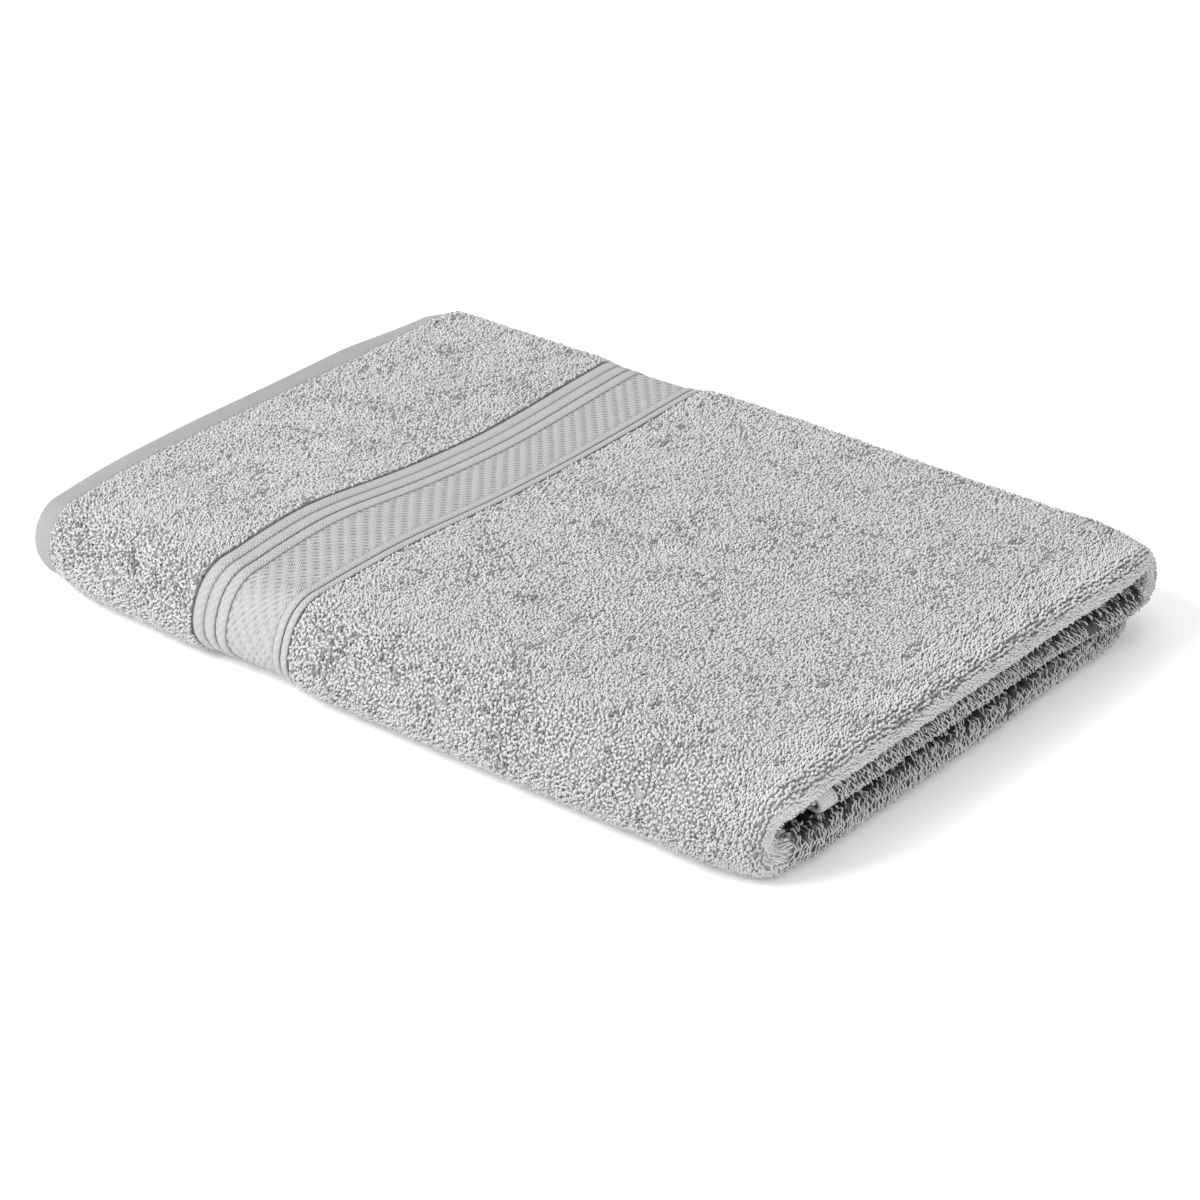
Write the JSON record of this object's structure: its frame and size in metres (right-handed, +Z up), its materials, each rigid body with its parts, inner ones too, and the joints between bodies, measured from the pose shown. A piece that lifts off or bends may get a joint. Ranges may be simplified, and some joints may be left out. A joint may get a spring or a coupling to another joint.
{
  "type": "folded bath towel",
  "caption": "Terry bath towel folded into a flat rectangular pack, with a corded woven border and turned hems at its open end.",
  "frame": {"origin": "centre of the folded pack's footprint, on the floor", "axes": "+X along the towel's length, from the open hemmed end to the folded end; +Y across the pack, away from the wide rounded side; +Z up"},
  "size_m": [0.3781, 0.2524, 0.0402],
  "materials": {
    "terry": "looped cotton pile, matt",
    "border": "flat woven cotton, slight sheen",
    "hem": "plain woven cotton, matt",
    "thread": "twisted sewing thread"
  },
  "bodies": {
    "root": {"ground_main": "terry", "ground_heading_a": "terry", "ground_heading_b": "terry", "pile_main_face": "terry", "pile_main_back": "terry", "pile_heading_a_face": "terry", "pile_heading_a_back": "terry", "pile_heading_b_face": "terry", "pile_heading_b_back": "terry", "border_band_a": "border", "border_band_b": "border", "border_cords_a": "border", "border_cords_b": "border", "end_hem_a": "hem", "end_hem_b": "hem", "side_hem_tucked": "hem", "side_hem_bottom": "hem", "end_stitching_a": "thread", "end_stitching_b": "thread", "side_stitching_tucked": "thread", "side_stitching_bottom": "thread"}
  },
  "joints": []
}
